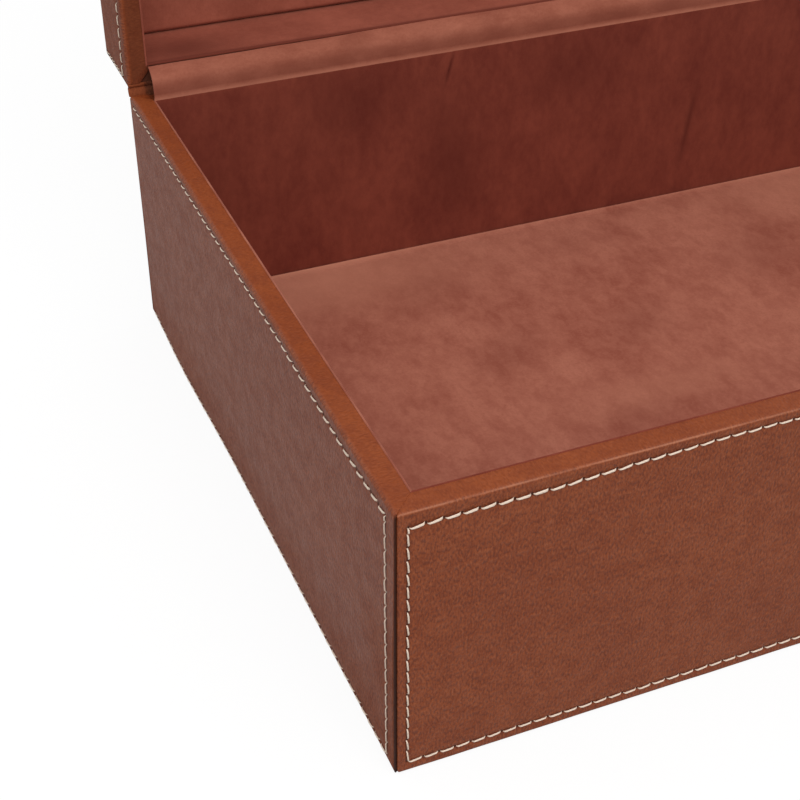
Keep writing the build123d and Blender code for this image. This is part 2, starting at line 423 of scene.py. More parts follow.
class Swept:
    """A closed section run along x: the path that shows, then the hidden way back.

    depth is each point's depth below the outer face, which sets where a mitre cuts it,
    end_round the radius at the mitres and grip how much of it each point takes.
    """

    def __init__(self, path, hidden, length, lines, depth, end_round=0.0, grip=1.0, turn=1):
        self.ring = np.array(list(path) + list(hidden))
        self.inward = np.vstack([normals_of(path, turn), np.zeros((len(hidden), 2))])
        count = len(self.ring)
        self.showing = (np.arange(count) < len(path))[:, None]
        grip = np.where(self.showing[:, 0], grip, 0.0) * np.ones(count)
        cols = columns(length, lines, end_round)
        side, e, d = (np.array(v)[None, :] for v in zip(*cols))
        d = d * grip[:, None]
        depth = np.asarray(depth, float)[:, None]
        gain = self.inward[:, 0:1] if turn == 1 else 1.0
        hold = 1 - fade(e, *MITRED)
        self.x = side * (length / 2 - e - (depth + d * gain) * hold)
        self.p = self.ring[:, 0:1] + d * self.inward[:, 0:1] + 0 * self.x
        self.q = self.ring[:, 1:2] + d * self.inward[:, 1:2] + 0 * self.x
        steps = np.linalg.norm(np.diff(self.ring, axis=0), axis=1)
        self.travel = np.concatenate([[0], np.cumsum(steps)])[:, None] + 0 * self.x
        self.calm = fade(length / 2 - np.abs(self.x), *CALM_ENDS) * self.showing

    def push(self, amount):
        """Moves the surface in along its normals."""
        self.p = self.p + amount * self.inward[:, 0:1]
        self.q = self.q + amount * self.inward[:, 1:2]

    def placed(self, place):
        return place(self.x, self.p, self.q).reshape(-1, 3)

    def swell(self, place, seed, *waves):
        """Soft unevenness, as (size, scale) waves, which dies out at the mitres."""
        points = self.placed(place)
        rise = sum(size * wave(points, scale, seed + scale) for size, scale in waves)
        return rise.reshape(self.x.shape) * self.calm

    def build(self, name, place, material, body, node, row, fold=0.0, seed=0):
        """The mesh, with row and fold as attributes for its material; fold carries painted light, painted
        shade and wear.
        """
        count, wide = self.x.shape
        faces = [*grid_faces(count, wide, True)]
        for col in (0, wide - 1):
            outline = list(zip(self.p[:, col], self.q[:, col]))
            faces += cap_faces(outline, [r * wide + col for r in range(count)])
        values = {
            "grain": triples(self.x + GRAIN_STEP * seed, self.travel, 0 * self.x),
            "row": triples(*(v + 0 * self.x for v in row)),
            "fold": (fold + 0 * self.x).reshape(-1),
        }
        return make(name, self.placed(place), faces, values, material, body, node)


# --- leather ---
SEEDS = {"front": 1, "right": 2, "rear": 3, "left": 4, "top": 5}
# how a top row comes down at a panel's end: by how much, all of it how near, none how far
CORNER_DRIFT = (1.75, 25.0, 92.0)
HINGE_DRIFT = (3.4, -5.0, 45.0)
FRONT_ROW, REAR_ROW, TOP_ROW = 3.5, 4.5, 3.6  # how far in from a panel's ends its rows lie


def edge_of(height, side):
    """Height at which a wall's flat face ends and the fold over the rim begins."""
    return height - RIM_R[side]


def front_rows(height, foot, under_rim, sides="ltrb"):
    half = HALF_W - FRONT_ROW
    drift = [(sign * HALF_W, *CORNER_DRIFT) for sign in (-1, 1)]
    return Rows(-half, half, foot, height - under_rim, edge_of(height, "front"), sides, drift)


def side_rows(side, height, foot, under_rim, at_hinge, at_front, sides, hinge_drift=()):
    """Rows on a side panel. Its hinge end lies at -x on the left and at +x on the right."""
    turn = 1 if side == "left" else -1
    x0, x1 = sorted((turn * (at_hinge - HALF_D), turn * (HALF_D - at_front)))
    drift = [(-turn * HALF_D, *d) for d in hinge_drift] + [(turn * HALF_D, *CORNER_DRIFT)]
    return Rows(x0, x1, foot, height - under_rim, edge_of(height, side), sides, drift, SIDE_PITCH)


BASE_SIDE = dict(height=BASE_H, foot=1.9, under_rim=2.9, at_hinge=3.5, at_front=6.2)
LID_SIDE = dict(height=LID_H, foot=2.2, under_rim=4.4, at_hinge=1.4, at_front=5.0, hinge_drift=[HINGE_DRIFT])
LID_BEND = LID_BACK - BEND_Y
ROWS = {
    ("base", "front"): front_rows(BASE_H, foot=4.0, under_rim=3.0),
    ("base", "left"): side_rows("left", sides="trb", **BASE_SIDE),
    ("base", "right"): side_rows("right", sides="ltb", **BASE_SIDE),
    ("lid", "front"): front_rows(LID_H, foot=2.2, under_rim=4.4, sides="ltr"),
    ("lid", "left"): side_rows("left", sides="ltr", **LID_SIDE),
    ("lid", "right"): side_rows("right", sides="ltr", **LID_SIDE),
    ("base", "rear"): Rows(REAR_ROW - HALF_W, HALF_W - REAR_ROW, 3.4, BEND_Z - 4.0, BEND_Z),
    ("lid", "rear"): Rows(REAR_ROW - HALF_W, HALF_W - REAR_ROW, 3.4, LID_BEND - 4.4, LID_BEND),
    ("lid", "top"): Rows(
        TOP_ROW - HALF_W, HALF_W - TOP_ROW, TOP_ROW - HALF_D, HALF_D - TOP_ROW, HALF_D, drift=None,
    ),
}

# points of a wall's section: under the base, across the rim and down inside
UNDER_LINES = (TURN_UNDER, 4.4, 2.6)
RIM_LINES = (2.0, 3.0, 4.1, 5.2, 6.1)
INSIDE_LINES = (1.2, 3.0, 6.0, TURN_IN)
LEATHER_WAVES = ((0.11, 34.0), (0.05, 11.0))
REAR_WAVES = ((0.10, 34.0), (0.05, 11.0))
TO_RIM = (0.4, 1.6)  # the rim's share of a point grows from the first depth, over the second
RIM_SQUARE = 0.92  # how much less the rim is rounded at its mitres than the face
RIM_CALM = 0.6

# Painted light and wear: 1 where a highlight is painted on the leather, -1 where it is painted dark, mostly
# as shade. Near -0.2 it mostly dulls, and darkens a little.
# a highlight painted along the fold over the rim: its strength, how much it varies and in what lengths; a
# side panel's fold gets a share of it
FOLD_HIGHLIGHT, FOLD_HIGHLIGHT_VARIES, FOLD_HIGHLIGHT_RUN = 0.72, 0.5, 11.0
SIDE_HIGHLIGHT = 0.3
# painted shade in the groove down each mitre of a side panel
MITRE_SHADE = 0.8
MITRE_SHADE_LINE = (0.2, 0.9, 0.8)  # dark line at a mitre: full to here, gone here, and later at the foot
# side panels get a duller finish and a little darker colour: the lid's evenly, the base's towards its foot
# and front end, as painted shade there
LID_SIDE_DULL = 0.15
FOOT_DULL_SHADE, FOOT_DULL_SHADE_MORE, FOOT_BAND = 0.138, 0.018, (5.0, 62.0)
FRONT_DULL_SHADE, FRONT_BAND, NEAR_FRONT = 0.142, (40.0, 85.0), (10.0, 60.0)
# the rims made darker: the lid's much, as painted shade, with a duller finish; the base's a touch
RIM_DARK_AND_SHADE = {"base": 0.08, "lid": 0.44}


def turned_in(top):
    """Section over a flat rim and down inside, and the hidden way back up."""
    path = [(n, top) for n in RIM_LINES]
    path += arc(EDGE_FACE - INNER_R, top - INNER_R, INNER_R, 90, 0, 3)
    path += [(EDGE_FACE, top - d) for d in INSIDE_LINES]
    return path, [(BOARD_FACE, top - TURN_IN), (BOARD_FACE, top - LEATHER), (LEATHER, top - LEATHER)]


def side_dull_and_shade(tray, from_front, c):
    """How dull and dark a side panel is: on the base most at its foot and near its front end, where the
    darkening is painted shade.
    """
    if tray is LID:
        return LID_SIDE_DULL
    near = 1 - fade(from_front, *NEAR_FRONT)
    low = (FOOT_DULL_SHADE + FOOT_DULL_SHADE_MORE * near) * (1 - fade(c, *FOOT_BAND))
    return np.maximum(low, FRONT_DULL_SHADE * near * (1 - fade(c, *FRONT_BAND)))


def painted_light_and_wear_of(tray, side, piece, depth, rim, highlight):
    """Painted light and wear over a wrapped wall: the highlight painted along the fold, painted shade down a
    side panel's mitres and on the lid's rim, and a side panel's duller finish with painted shade towards its
    foot. The last argument is how much highlight is painted on each point.
    """
    painted_light_and_wear = highlight
    if side != "front":
        on_face = np.clip(1 - 4 * rim, 0, 1)
        from_mitre = HALF_D - np.abs(piece.x) - depth
        full, gone, later = MITRE_SHADE_LINE
        gone = gone + later * (1 - fade(piece.q, 0.4 * tray.height, 0.8 * tray.height))
        # a share of the painted highlight on the fold, and painted shade down the mitre
        painted_light_and_wear = SIDE_HIGHLIGHT * highlight - MITRE_SHADE * (1 - fade(from_mitre, full, gone)) * on_face
        # a duller finish and painted shade towards the base's foot and front end
        from_front = HALF_D + piece.x * (-1 if side == "left" else 1)
        painted_light_and_wear = painted_light_and_wear - on_face * side_dull_and_shade(tray, from_front, piece.q)
    # darker rims, on the lid as painted shade
    return painted_light_and_wear - RIM_DARK_AND_SHADE[tray.name] * rim


def wrapped_wall(tray, side, material):
    """A leather panel that goes up a wall, over the rim and down inside."""
    length, top = run_of(side), tray.height
    rows = ROWS[tray.name, side]
    if tray is BASE:
        path = [(n, FOOT) for n in UNDER_LINES] + FOOT_ARC
        back = [(LEATHER, FOOT + LEATHER), (TURN_UNDER, FOOT + LEATHER)]
    else:
        path = [(0.0, LEATHER)]
        back = [(LEATHER, LEATHER)]
    first = len(path)
    path += [(0.0, c) for c in rows.heights(path[-1][1], rows.edge)]
    last = len(path)
    over = arc(RIM_R[side], rows.edge, RIM_R[side], 180, 90, 9)
    inside, way_back = turned_in(top)
    path += over + inside
    hidden = way_back + back
    ring = np.array(path + hidden)
    k = np.arange(len(ring))[:, None]
    depth = ring[:, 0:1]
    rim = np.clip((depth - TO_RIM[0]) / TO_RIM[1], 0, 1) * (k >= last)
    lines = merged([rows.x_lines(), both_ends(length / 2, NEAR_MITRE)])
    piece = Swept(path, hidden, length, lines, ring[:, 0], SEAM_R[side], 1 - RIM_SQUARE * rim[:, 0])
    far, along = rows.field(piece.x, piece.q)
    place = tray.wall(side)
    by_hand = np.where((k >= first) & (k < last), rows.by_hand(piece.x, piece.q), piece.q)
    piece.travel = piece.travel + by_hand - piece.q
    piece.q = by_hand
    swell = piece.swell(place, SEEDS[side] + top, *LEATHER_WAVES)
    face = (k >= first - 2) & (k < last + 2)
    piece.push(np.where(face, seam_dip(far, along), 0.0) + swell * (1 - RIM_CALM * rim))
    # a highlight painted along the fold over the rim
    highlight = np.zeros(k.shape)
    highlight[last:last + len(over), 0] = np.sin(np.linspace(0, math.pi, len(over))) ** 5
    highlight = highlight * (FOLD_HIGHLIGHT + FOLD_HIGHLIGHT_VARIES * along_run(piece.x[last], FOLD_HIGHLIGHT_RUN, SEEDS[side]))
    return piece.build(
        f"{tray.name}_{side}_leather_panel", place, material, tray.name, f"{tray.name}_{side}_leather",
        (np.where(face, far, NO_SEAM), along, rim), painted_light_and_wear_of(tray, side, piece, depth, rim, highlight),
        SEEDS[side],
    )


# the rear rims' strips sink in near their ends, from the first pair on and as far as an edge: the edge's
# place, its slant across the rim and its softness, and how dark the shade in that hollow is painted on the
# strip
STRIP_COLUMN = 5.0
STRIP_ENDS = np.arange(9.5, 2.0, -0.5)
STRIP_SINK = 0.6
SINK_FROM = (HALF_W - 11.0, HALF_W - 8.5)
SINK_EDGE = {"base": (HALF_W - 6.2, 0.0, 0.8, 0.40), "lid": (HALF_W - 3.4, 0.82, 0.7, 0.25)}
# the lid's strip is dull and painted dark as shade, darker still behind the suede strip as its painted shadow
LID_STRIP_DULL_SHADE, LID_STRIP_SUEDE_SHADOW = 0.34, 0.5
BEHIND_SUEDE = (4.2, 5.6)
SUEDE_ENDS = (HALF_W - 9.0, HALF_W - 7.5)


def rim_strip(tray, material):
    """Leather over the rear wall's rim, which no wrapped panel covers."""
    inside, hidden = turned_in(tray.height)
    path = [(LEATHER, tray.height)] + inside
    lines = evenly(HALF_W - STRIP_ENDS[0], STRIP_COLUMN) + both_ends(HALF_W, STRIP_ENDS)
    piece = Swept(path, hidden, WIDTH, lines, np.array(path + hidden)[:, 0])
    place = tray.wall("rear")
    out = np.abs(piece.x)
    edge, slant, soft, dark = SINK_EDGE[tray.name]
    sunk = fade(out, *SINK_FROM) * (1 - fade(out - (edge - slant * piece.p), -soft, soft))
    piece.push(piece.swell(place, 9 + tray.height, (0.08, 30.0)) + STRIP_SINK * sunk)
    behind = fade(piece.p, *BEHIND_SUEDE) * (1 - fade(out, *SUEDE_ENDS))
    # the sunk ends painted dark as the shade in their hollow; the lid's strip painted dark as shade, most
    # behind the suede strip
    return piece.build(
        f"{tray.name}_rear_rim_strip", place, material, tray.name, f"{tray.name}_rear_edging",
        (dark + 0.55 * (1 - sunk), 0.0, 1.0),
        (tray is LID) * (-LID_STRIP_DULL_SHADE - LID_STRIP_SUEDE_SHADOW * behind), seed=6,
    )


# between the rims the rear cover puckers inwards into two rolls that meet in a crease:
# out from the rear wall's face, down from the lid's leather, and how far their ends bulge
ROLLS = (
    (0.5, 0.02, 0.0), (0.1, 0.3, 0.0), (0.02, 0.75, 0.2), (0.25, 1.25, 0.45), (0.55, 1.6, 0.6),
    (0.05, 1.95, 0.8), (-0.45, 2.5, 1.0), (-0.8, 3.1, 1.0),
)
ROLL_FEET = ((-1.0, 0.1, 0.8), (-1.15, 0.8, 0.5))  # the same, down from the base's rim
ROLL_BULGE = 0.38
ROLL_COLUMNS = (5.8, 5.2, 4.6, 4.0, 3.4, 2.8)
BULGE_FROM, ROLL_PALE, ROLL_RIM = HALF_W - 4.0, HALF_W - 4.2, HALF_W - 5.2
ROLL_END = HALF_W - 6.4
# the rolls painted dark as the shade in the gap between the rims, less towards their ends, and darker and
# duller still
ROLL_SHADE = (0.30, 0.55)
ROLL_DULL_SHADE, ROLL_END_DULL_SHADE = 0.22, 0.08


def rear_cover(material):
    """One leather over the back of the base, round the hinge and along the lid's rear wall."""
    on_base, on_lid = ROWS["base", "rear"], ROWS["lid", "rear"]
    path = [(HALF_D - n, FOOT) for n in (TURN_UNDER, 3.0)] + [(HALF_D - n, c) for n, c in FOOT_ARC]
    up = on_base.heights(path[-1][1], BEND_Z)
    base_part = slice(len(path), len(path) + len(up))
    path += [(HALF_D, c) for c in up]
    path += arc(BEND_Y, BEND_Z, BEND, 180, 90, 16)
    near = LEATHER + 0.1
    across = on_lid.heights(near, LID_BEND)[::-1] + [near]
    lid_part = slice(len(path), len(path) + len(across))
    path += [(LID_BACK - c, LID_LOW) for c in across + [LEATHER]]
    lid_in = LID_LOW + LEATHER
    rolls = [(HALF_D + out, lid_in - down) for out, down, _ in ROLLS]
    rolls += [(HALF_D + out, BASE_H - down) for out, down, _ in ROLL_FEET]
    hidden = [(LID_BACK - LEATHER, lid_in), (BEND_Y, lid_in)] + rolls
    hidden += [(HALF_D - LEATHER, FOOT + LEATHER), (HALF_D - TURN_UNDER, FOOT + LEATHER)]
    depth = [0.0] * len(path) + [LEATHER] * 2 + [0.0] * (len(rolls) - 1) + [LEATHER] * 3
    lines = merged([on_base.x_lines(), both_ends(HALF_W, ROLL_COLUMNS)])
    piece = Swept(path, hidden, WIDTH, lines, depth, SEAM_R["rear"], 1.0, -1)
    far, along = np.full(piece.x.shape, NO_SEAM), np.full(piece.x.shape, NO_SEAM)
    rim, painted_light_and_wear = 0 * piece.x, 0 * piece.x
    in_gap = slice(len(path) + 2, len(path) + 2 + len(rolls))
    out = np.abs(piece.x[in_gap])
    # painted shade in the gap between the rims, lighter towards the rolls' ends
    far[in_gap] = ROLL_SHADE[0] + ROLL_SHADE[1] * fade(out, ROLL_END, ROLL_PALE)
    along[in_gap] = 0.0
    bulge = np.array([share for _, _, share in ROLLS + ROLL_FEET])[:, None]
    piece.x[in_gap] += ROLL_BULGE * np.sign(piece.x[in_gap]) * bulge * fade(out, BULGE_FROM, HALF_W)
    rim[in_gap] = fade(out, ROLL_END, ROLL_RIM)
    painted_light_and_wear[in_gap] = -ROLL_DULL_SHADE - ROLL_END_DULL_SHADE * rim[in_gap]
    far[base_part], along[base_part] = on_base.field(-piece.x[base_part], piece.q[base_part])
    far[lid_part], along[lid_part] = on_lid.field(-piece.x[lid_part], LID_BACK - piece.p[lid_part])
    piece.push(seam_dip(far, along) + piece.swell(on_section, 7, *REAR_WAVES))
    made = piece.build(
        "rear_cover_panel", on_section, material, None, "rear_cover_leather",
        (far, along, rim), painted_light_and_wear, SEEDS["rear"],
    )
    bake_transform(made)
    return made


# --- suede ---
def marks_at(x, c, marks):
    """Darkness from each mark: pressed nap for a patch, painted shade for a crease, and painted light for a
    negative strength: (x, c, half width, half height, lean, strength).
    """
    out = 0.0 * (x + c)
    for at_x, at_c, half_x, half_c, lean, strength in marks:
        dx = (x - at_x - lean * (c - at_c)) / half_x
        out = out + strength * np.exp(-(dx**2) - np.abs((c - at_c) / half_c) ** 2.5)
    return out


LINING_UNDER_RIM = 0.1
LINING_R = 0.32
LINING_LINES = (0.7, 1.2, 2.0, 3.0)
LINING_WAVES = ((0.16, 40.0), (0.10, 13.0), (0.05, 5.0))
CREASE_DEEP = 0.35
CREASE_LINES = np.arange(-4.5, 4.6, 0.45)
PAINTED_EDGE_HIGHLIGHT = 0.5  # how strong a highlight is painted along the top edge of the base's side linings


def wall_lining(tray, side, material, creases, marks):
    """Suede on the inside of a wall, its upper edge shaved thin beside the turned leather."""
    tip, foot = tray.height - LINING_UNDER_RIM, tray.lining_foot
    path = [(EDGE_FACE + 0.02, tip - 0.12)]
    path += arc(WALL - LINING_R, tip - LINING_R, LINING_R, 120, 0, 4)
    drops = LINING_LINES + tuple(np.arange(5.0, tip - foot - 1.5, 2.5))
    path += [(WALL, tip - d) for d in drops] + [(WALL, foot)]
    turn_end = tray.height - TURN_IN
    hidden = [(BOARD_FACE, foot), (BOARD_FACE, turn_end), (EDGE_FACE, turn_end)]
    length = run_of(side)
    lines = list(np.arange(-length / 2 + 10, length / 2 - 9, 3.0))
    lines += [crease[0] + d for crease in creases for d in CREASE_LINES]
    piece = Swept(path, hidden, length, merged([lines], 0.2), np.array(path + hidden)[:, 0])
    place = tray.wall(side)
    swell = piece.swell(place, 20 + SEEDS[side] + tray.height, *LINING_WAVES)
    swell = swell * fade(tray.height - piece.q, *CALM_ENDS)
    piece.push(swell + CREASE_DEEP * marks_at(piece.x, piece.q, creases) * piece.showing)
    # pressed nap from the marks, and painted shade in the creases
    nap_and_shade = marks_at(piece.x, piece.q, creases + marks)
    edge = 0.0
    # a highlight painted along the top edge of the base's side linings
    if tray is BASE and side in ("left", "right"):
        uneven = 0.8 + 0.7 * along_run(piece.x[0], 7.0, SEEDS[side])
        edge = PAINTED_EDGE_HIGHLIGHT * fade(piece.q, tip - 0.55, tip - 0.2) * uneven
    if tray is LID and side == "rear":
        # in the hinge strip's shadow
        nap_and_shade = nap_and_shade + fade(piece.q, tip - 2.6, tip - 0.6)
    return piece.build(
        f"{tray.name}_{side}_suede_lining", place, material, tray.name, f"{tray.name}_{side}_lining",
        (nap_and_shade, 0.0, edge), seed=SEEDS[side] + 10,
    )


BRIDGE_THICK = 0.7
BRIDGE_FOOT = 0.5  # how far it runs straight up the lining before it bows
BRIDGE_CROWN, BRIDGE_FULL = 2.1, 0.85
BRIDGE_COLUMN = 2.0
BRIDGE_WAVES = ((0.30, 55.0), (0.16, 16.0), (0.09, 6.0))
BRIDGE_WIDER, BRIDGE_FLARE, FLARE_DROP = 1.0018, 0.0022, 9.0
BRIDGE_DIP, DIP_RUN = 0.7, (-10.0, 175.0)


def bridge_shade(up, x):
    """Painted shade on the hinge strip as a dark band low down, and patches of dark nap above it."""
    band = (1 - fade(up, 0.25, 0.62)) * fade(up, 0.04, 0.12)
    patches = np.clip(along_run(x, 13.0, 35) - 0.05, 0, 1) * fade(up, 0.2, 0.6)
    return (0.55 + 0.25 * along_run(x, 9.0, 33)) * band + 0.5 * patches


def hinge_strip(material):
    """Suede strip that bows across the hinge, from the base's lining to the lid's."""
    low, high = box_mm("hinge_suede_strip")
    foot, head = np.array([low[1], low[2] + BRIDGE_FOOT]), high[1:]
    chord = head - foot
    out = np.array([-chord[1], chord[0]]) / np.linalg.norm(chord)
    t = np.linspace(0, 1, 19)[:, None]
    outer = foot + chord * t + out * BRIDGE_CROWN * (1 - (2 * t - 1) ** 2) ** BRIDGE_FULL
    path = [(low[1], low[2])] + [tuple(v) for v in outer]
    back = [tuple(v) for v in (outer - out * BRIDGE_THICK)[::-1]]
    back[0] = (head[0], head[1] - BRIDGE_THICK)
    hidden = back[:-1] + [(foot[0] + BRIDGE_THICK, foot[1]), (foot[0] + BRIDGE_THICK, low[2])]
    run = high[0] - low[0]
    lines = evenly(run / 2 - BRIDGE_COLUMN, BRIDGE_COLUMN)
    piece = Swept(path, hidden, run, lines, [0.0] * len(path + hidden))
    loose = fade(piece.q, low[2], low[2] + 2.5)
    piece.push(piece.swell(on_section, 31, *BRIDGE_WAVES) * loose)
    piece.x = piece.x * (BRIDGE_WIDER + BRIDGE_FLARE * fade(head[1] - piece.q, 0.0, FLARE_DROP))
    up = np.concatenate([[0.0], t[:, 0], t[::-1, 0][:-1], [0.0, 0.0]])[:, None]
    shade = bridge_shade(up, piece.x[0])
    # its glued edge dips towards the left end
    piece.q = piece.q - BRIDGE_DIP * fade(up, 0.3, 1.0) * fade(-piece.x, *DIP_RUN)
    # painted shade low on the strip, and a highlight painted along its foot
    made = piece.build(
        "hinge_strip_suede", on_section, material, None, "hinge_suede_strip",
        (shade, 0.0, 0.5 * (1 - fade(up, 0.0, 0.07))), seed=30,
    )
    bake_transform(made)
    return made


# --- plates ---
EDGE_LINES = (0, 0.08, 0.2, 0.36, 0.55, 0.77, 1.0)  # shares of the rounded edge
INSET_LINES = (0.4, 0.8, 1.3, 2.0, 2.8, 3.6, 4.6)
PLATE_CALM = (0.5, 7.0)
ROLL_AT, ROLL_WIDE = 0.9, 0.9  # a pad's rolled edge, and the hollow behind it
BEHIND_ROLL, BEHIND_WIDE, BEHIND_DEEP = 4.0, 1.6, 0.6
PAD_WAVES = ((0.22, 48.0), (0.10, 17.0))


def plate_lines(half, rounding, step, sewn):
    """Grid lines across a plate, closer together on its rounded edges and beside its rows."""
    ends = [half - rounding * e for e in EDGE_LINES]
    if not sewn:
        ends += [half - rounding * 1.15 - d for d in INSET_LINES]
    inside = merged([sewn, np.arange(-half + 6, half - 5, step)], LINE_GAP if sewn else 1.0)
    inside = [w for w in inside if abs(w) < min(ends) - 0.4]
    return np.array(sorted(inside + ends + [-e for e in ends]))


def rounded_off(w, half, share, keep, rounding):
    """Pulls the points of a rounded edge in, so that a corner is round as well."""
    return np.where(share > 0, np.sign(w) * (half - rounding * (1 - share * keep)), w)


def plate(name, size, place, material, body, node, rounding, step,
          rows=None, waves=(), seed=0, rolled=0.0, marks=(), edge_shade=0.0):
    """A flat piece with a rounded upper edge: u and v across it, t up from its foot.

    size is half of u, half of v, and the thickness; rounding is the edge's, in plan and in depth.
    """
    half_u, half_v, thick = size
    round_plan, round_deep = rounding
    u = plate_lines(half_u, round_plan, step, rows.x_lines() if rows else [])
    v = plate_lines(half_v, round_plan, step, rows.c_lines() if rows else [])
    uu, vv = np.meshgrid(u, v, indexing="ij")
    a, b = into_edge(uu, half_u, round_plan), into_edge(vv, half_v, round_plan)
    keep = to_round(a, b)
    x = rounded_off(uu, half_u, a, keep, round_plan)
    y = rounded_off(vv, half_v, b, keep, round_plan)
    top = thick - round_deep * (1 - np.sqrt(np.clip(1 - np.maximum(a, b) ** 2, 0, 1)))
    calm = fade(np.minimum(half_u - np.abs(uu), half_v - np.abs(vv)), *PLATE_CALM)
    for rise, scale in waves:
        top = top + rise * wave(triples(x, y, 0 * x), scale, seed + scale).reshape(x.shape) * calm
    inset = np.minimum(half_u - np.abs(x), half_v - np.abs(y))
    behind = BEHIND_DEEP * bell(inset - BEHIND_ROLL, BEHIND_WIDE)
    top = top + rolled * (bell(inset - ROLL_AT, ROLL_WIDE) - behind)
    # dark patches of pressed nap, and a pad's edge painted dark as the shade in its joint
    far = marks_at(x, y, [m for m in marks if m[5] > 0]) + edge_shade * (1 - fade(inset, 0.6, 1.6))
    along = 0 * x
    if rows:
        far, along = rows.field(x, y)
        top = top - seam_dip(far, along)
    nu, nv = x.shape
    index = np.arange(nu * nv).reshape(nu, nv)
    rim_loop = [*index[:, 0], *index[-1, 1:], *index[-2::-1, -1], *index[0, -2:0:-1]]
    upper = triples(x, y, top)
    points = np.vstack([upper, upper[rim_loop] * (1, 1, 0)])
    count = len(rim_loop)
    lower = [nu * nv + k for k in range(count)]
    faces = [*grid_faces(nu, nv, False)]
    faces += [[rim_loop[k - 1], rim_loop[k], lower[k], lower[k - 1]] for k in [*range(1, count), 0]]
    faces.append(lower)
    grain = points + (GRAIN_STEP * seed, 0, 0)
    # painted light: the pale patches, and a band along a rolled edge
    pale = -marks_at(x, y, [m for m in marks if m[5] < 0]) + 0.35 * (1 - fade(inset, 0.6, 2.4)) * (rolled > 0)
    row = np.vstack([triples(far, along, pale), np.zeros((count, 3))])
    row[nu * nv:, 0] = NO_SEAM if rows else 0.0
    values = {"grain": grain, "row": row}
    return make(name, place(*points.T), faces, values, material, body, node)


# --- thread ---
THREAD_R = {"front": 0.275, "top": 0.25}
SIDE_THREAD_R = 0.22
REACH = (0.87, 0.87)
SIDE_REACH = (0.80, 0.95)
LEAN, LEAN_VARIES = 0.17, 0.45
OFF_LINE, BOWED = 0.06, 0.05  # how far a stitch lies beside its row, and how far it curves
LIFT, LIFT_VARIES, SINK = 0.55, 0.05, 0.66  # how high it rides, in radii, and how deep its ends go
RINGS, RING_POINTS = 13, 8
TWIST = 1.6  # turns of the two plies in a stitch


def thread(name, rows, to_row, material, body, lean, seed, thick, reach):
    """One straight, leaning stitch after another along the rows.

    reach is how much of the way between its holes a stitch shows, in level rows and in upright ones.
    """
    rng = np.random.RandomState(seed)
    ends = rows.stitches()
    count = len(ends)

    def each(low=-1):
        """One random number for each stitch."""
        return rng.uniform(low, 1, (count, 1, 1))

    a, b = ends[:, 0], ends[:, 1]
    run = b - a
    size = np.linalg.norm(run, axis=1)[:, None]
    d = run / size
    left = np.stack([-d[:, 1], d[:, 0]], axis=1)
    short = np.clip(size / PITCH[1], 0.3, 1.0)[:, :, None]
    shows = np.where(np.abs(d[:, 1]) > 0.5, reach[1], reach[0])[:, None, None]
    t = (0.5 - 0.5 * np.cos(np.linspace(0.0, math.pi, RINGS)))[None, :, None]
    u = np.abs(2 * t - 1)
    lateral = lean * short * (2 * t - 1) * (1 + LEAN_VARIES * each())
    lateral = lateral + OFF_LINE * each() + BOWED * each() * (1 - u**2)
    middle = a[:, None, :] + d[:, None, :] * (size[:, :, None] * (0.5 + shows * (t - 0.5)))
    middle = middle + left[:, None, :] * lateral
    lift = LIFT * thick + LIFT_VARIES * each() - SINK * u**8
    phi = np.linspace(0, 2 * math.pi, RING_POINTS, endpoint=False)[None, None, :]
    twist = 2 * math.pi * (TWIST * t + each(0))
    ply = np.cos(2 * (phi - twist))
    radius = thick * (0.94 + 0.07 * ply) * (1 - 0.30 * u**4 - 0.25 * u**12)
    across = radius * np.cos(phi)
    above = lift + radius * np.sin(phi)
    x, c = (middle[:, :, None, k] + left[:, None, None, k] * across for k in (0, 1))
    points = to_row(x, -above, rows.by_hand(x, c)).reshape(-1, 3)
    whole = RINGS * RING_POINTS
    k = np.arange(0, count * whole, whole)[:, None, None]
    k = k + np.arange(0, whole - RING_POINTS, RING_POINTS)[:, None]
    s = np.arange(RING_POINTS)
    s2 = (s + 1) % RING_POINTS
    quads = np.stack([k + s, k + s2, k + RING_POINTS + s2, k + RING_POINTS + s], -1)
    faces = quads.reshape(-1, 4).tolist()
    for first in range(0, count * whole, whole):
        faces.append(list(range(first, first + RING_POINTS))[::-1])
        faces.append(list(range(first + whole - RING_POINTS, first + whole)))
    return make(name, points, faces, {"ply": ply.reshape(-1)}, material, body, sharp=80)


# --- materials ---
class Nodes:
    """A node tree written as nested calls."""

    def __init__(self, tree):
        self.tree = tree

    def add(self, kind, inputs=(), out=0, **props):
        node = self.tree.nodes.new("ShaderNode" + kind)
        for key, value in props.items():
            setattr(node, key, value)
        for key, value in dict(inputs).items():
            self.put(node.inputs[key], value)
        return node.outputs[out]

    def put(self, socket, value):
        """Links a socket's value to the input, or writes a plain one on it."""
        if isinstance(value, bpy.types.NodeSocket):
            self.tree.links.new(value, socket)
        else:
            socket.default_value = value

    def math(self, operation, a, b=0.0):
        return self.add("Math", {0: a, 1: b}, operation=operation)

    def times(self, a, b):
        return self.math("MULTIPLY", a, b)

    def plus(self, a, b):
        return self.math("ADD", a, b)

    def split(self, vector):
        return self.add("SeparateXYZ", {0: vector}).node.outputs

    def choose(self, to_camera, to_gloss, other):
        """One value to the camera, one to reflections, and one to all else."""
        rays = self.add("LightPath").node.outputs
        camera_ray = rays["Is Camera Ray"]
        gloss_ray = self.math("MAXIMUM", rays["Is Glossy Ray"], rays["Is Transmission Ray"])
        seen = self.plus(self.times(camera_ray, to_camera), self.times(gloss_ray, to_gloss))
        rest = self.math("SUBTRACT", 1.0, self.plus(camera_ray, gloss_ray))
        return self.plus(seen, self.times(rest, other))


